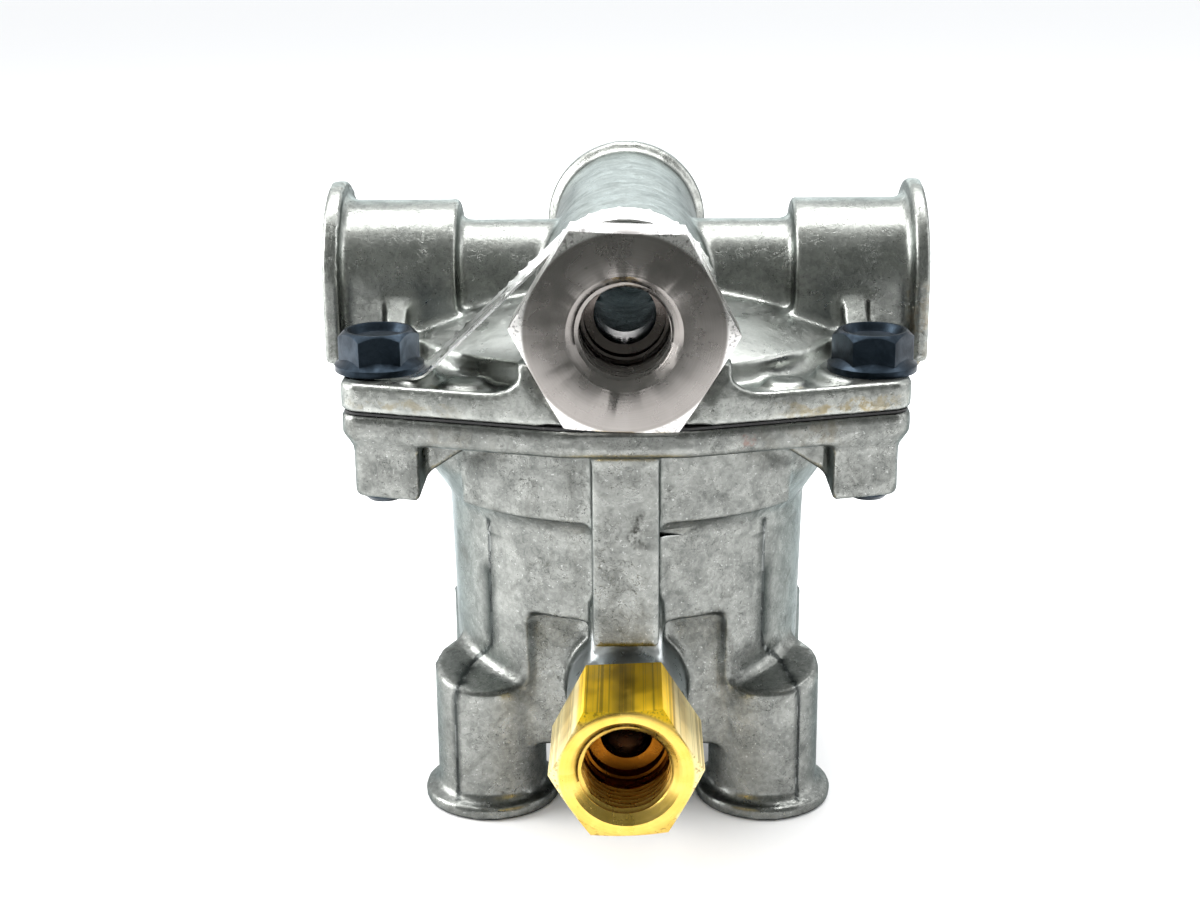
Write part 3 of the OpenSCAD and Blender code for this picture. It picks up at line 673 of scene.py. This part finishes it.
def tag(material):
    """Embossed strip, along its path from the bolt to the far side of the front port"""
    foot, seat, thick, width, radius = 34.7, 87.5, 0.4, 12.0, 15.75
    outer_end, middle_y = 48.9, -34
    bead_pitch, bead_from_middle, dot_pitch = 2.6, 4.9, 1.7
    centre = Vector((0, PORT_Z))
    start = Vector((-foot, seat + 0.2))
    gap = centre - start
    reach = gap.length
    meet = math.acos(radius / reach) - math.atan2(gap.y, gap.x)
    path = [Vector((-outer_end + i * (outer_end - foot) / 14, seat + 0.2)) for i in range(14)]
    touch = centre + radius * Vector((-math.cos(meet), math.sin(meet)))
    path += [start.lerp(touch, i / 40) for i in range(40)]
    first, last = math.pi - meet, 0.0
    path += [centre + radius * Vector((math.cos(a), math.sin(a))) for a in
             (first + (last - first) * i / 50 for i in range(51))]
    for _ in range(3):
        path = [path[0]] + [(a + b * 2 + c) / 4 for a, b, c in zip(path, path[1:], path[2:])] + [path[-1]]
    across = 25
    verts, faces = [], []
    run = 0
    for i, p in enumerate(path):
        along = (path[min(i + 1, len(path) - 1)] - path[max(i - 1, 0)]).normalized()
        up = Vector((-along.y, along.x))
        run += (p - path[i - 1]).length if i else 0
        for k in range(across):
            t = k / (across - 1)
            y = middle_y - width / 2 + t * width
            rim = abs(t - 0.5) * width
            bead = max(0.0, math.sin(run * 2 * math.pi / bead_pitch)) ** 2
            bead *= math.exp(-((rim - bead_from_middle) / 0.7) ** 2)
            dots = max(0.0, math.sin(run * 2 * math.pi / dot_pitch))
            dots *= max(0.0, math.cos((t - 0.5) * width * 1.9))
            dots *= 1.0 if rim < 2.6 and run > 22 else 0.0
            lift = 0.42 * bead + 0.12 * dots if run > 12 else 0.0
            for side in (0.5, -0.5):
                q = p + up * (thick * side + lift)
                verts.append((q.x, y + AXIS_Y, q.y))
    row = across * 2
    for i in range(len(path) - 1):
        for k in range(across - 1):
            a, b = i * row + k * 2, (i + 1) * row + k * 2
            faces += [(a, a + 2, b + 2, b), (a + 1, b + 1, b + 3, a + 3)]
        for k, flip in ((0, False), (across - 1, True)):
            a, b = i * row + k * 2, (i + 1) * row + k * 2
            face = (a, b, b + 1, a + 1)
            faces.append(tuple(reversed(face)) if flip else face)
    for i, flip in ((0, False), (len(path) - 1, True)):
        for k in range(across - 1):
            a = i * row + k * 2
            face = (a, a + 1, a + 3, a + 2)
            faces.append(tuple(reversed(face)) if flip else face)
    obj = object_from("tag_strip", [Vector(v) * MM for v in verts], faces)
    # The foot goes under the bolt: round end and a hole for the shank
    at_bolt = Matrix.Translation((-BOLT_X, -BOLT_Y + AXIS_Y, 0))
    keep = lathe("foot_end", [(6.4, 80), (6.4, 90)], at_bolt)
    long_part = block("long_part", (-BOLT_X, -60, 60), (60, -10, 130))
    cut(keep, long_part, operation="UNION")
    cut(obj, keep, operation="INTERSECT")
    cut(obj, lathe("hole", [(4.4, 80), (4.4, 90)], at_bolt))
    settle(obj, "id_tag", material, 60)


def build():
    cast_light = cast_aluminium("cast_cover", 1.15, [
        ((53.5, 0, 90), (3.2, 16, 10), (0.30, 0.20, 0.07), 0.85),
        ((36, -38, 84.2), (14, 8, 1.3), (0.33, 0.27, 0.15), 0.9),
        ((-38, -38, 84.0), (12, 8, 1.0), (0.30, 0.26, 0.17), 0.6),
    ], [
        # Painted light on the dome at both sides, painted shade inside the gallery between the front and
        # rear ports
        ((-26, -20, 91), (18, 18, 6), (0.62, 0.64, 0.61), 0.6),
        ((26, -20, 91), (18, 18, 6), (0.60, 0.62, 0.59), 0.4),
        ((0, 0, PORT_Z), (12, 46, 12), (0.010, 0.012, 0.012), 1.0),
    ])
    cast_grey = cast_aluminium("cast_body", 0.79, [
        ((30, -36, 79.5), (9, 10, 2.6), (0.17, 0.145, 0.10), 0.7),
        ((-26, -36, 79.5), (10, 10, 2.4), (0.19, 0.17, 0.13), 0.6),
        ((20.5, -40, 80.0), (1.2, 8, 1.2), (0.24, 0.05, 0.02), 1.0),
        ((2.2, -44, 63), (2.4, 4, 4.5), (0.05, 0.05, 0.045), 0.9),
    ], [
        # Painted light on the front of the lower casting round the control port, and a painted reflection on
        # the left flank of the barrel
        ((0, -34, 32), (14, 11, 9), (0.66, 0.69, 0.70), 0.85),
        ((-38, 0, 50), (6, 40, 16), (0.66, 0.69, 0.70), 0.7),
    ])
    # Painted light on the hexagons: a painted highlight on the steel corners, lighter painted side and top
    # flats on the brass
    # The third colour of each adapter is its bore's painted shade
    steel = turned("turned_steel", (0.29, 0.272, 0.258), (0.215, 0.199, 0.186), (0.07, 0.05, 0.042),
                   (0, PORT_Z), 16.6, roughness=(0.22, 0.32), corner=(0.93, 0.91, 0.89))
    brass = turned("brass_bar", (0.86, 0.60, 0.16), (0.60, 0.39, 0.06), (0.26, 0.085, 0.006), (0, CONTROL_Z),
                   11.5, 1800.0, 0.25, (0.2, 0.34), (0.34, 0.25, 0.03), side_flat_painted_light=(0.86, 0.78, 0.46),
                   top_flat_painted_light=(1.0, 0.66, 0.03), shade=(0.85, 0.50))
    black = plain_metal("black_phosphate", (0.030, 0.042, 0.056), (0.012, 0.018, 0.025), (0.3, 0.5))
    sheet = plain_metal("tag_metal", (0.92, 0.92, 0.90), (0.66, 0.67, 0.66), (0.18, 0.38), 600.0)
    inner = plain_metal("machined_aluminium", (0.80, 0.81, 0.82), (0.55, 0.56, 0.57), (0.2, 0.35))
    wire = plain_metal("spring_wire", (0.60, 0.60, 0.61), (0.34, 0.34, 0.35), (0.2, 0.4))
    plated = plain_metal("zinc_plate", (0.80, 0.80, 0.76), (0.56, 0.56, 0.52), (0.2, 0.4))
    seat_brass = plain_metal("turned_brass", (0.86, 0.66, 0.30), (0.58, 0.42, 0.16), (0.2, 0.35))
    seal = rubber("seal_rubber", (0.016, 0.016, 0.017))
    gasket = rubber("gasket_black", (0.012, 0.012, 0.012))

    cover(cast_light)
    lower(cast_grey)
    for end, bore_r, z, node, name, slot, material in (
            (-56, 7.42, PORT_Z, "steel_adapter", "steel_hexagon", "turned_steel", steel),
            (-65, 7.42, CONTROL_Z, "brass_adapter", "brass_hexagon", "brass", brass)):
        tool = thread_tool("tap", bore_r, PITCH_18, 0.95, 12, mouth(0, end, z, (0, -1, 0)))
        refined(node, name, material, 0.2, 2, 35, [tool])
    for where in ("front_left", "front_right", "rear_left", "rear_right"):
        refined("bolt_" + where, "flange_bolt_" + where, black, 0.28, 3)
    tag(sheet)
    for node, name, slot, material, bevel in (
            ("joint_gasket", "gasket_sheet", "gasket_black", gasket, 0),
            ("relay_piston", "piston_disc", "piston_aluminium", inner, 0.2),
            ("piston_ring", "piston_seal", "seal_rubber", seal, 0),
            ("piston_spring", "piston_coil", "spring_steel", wire, 0),
            ("valve_tube", "valve_sleeve", "brass_valve", seat_brass, 0.15),
            ("valve_face", "valve_pad", "seal_rubber", seal, 0.15),
            ("valve_spring", "valve_coil", "spring_steel", wire, 0),
            ("spring_seat", "spring_washer", "plated_steel", plated, 0.12),
            ("valve_guide", "guide_bush", "guide_aluminium", inner, 0.2),
            ("guide_outer_ring", "outer_seal", "seal_rubber", seal, 0),
            ("guide_inner_ring", "inner_seal", "seal_rubber", seal, 0),
            ("exhaust_plate", "exhaust_grid", "plated_steel", plated, 0.12),
            ("exhaust_diaphragm", "exhaust_flap", "seal_rubber", seal, 0.12),
            ("diaphragm_washer", "flap_washer", "plated_steel", plated, 0.08),
            ("diaphragm_screw", "flap_screw", "plated_steel", plated, 0.08),
            ("retaining_ring", "snap_ring", "spring_steel", wire, 0.12)):
        refined(node, name, material, bevel)


camera()
studio()
build()
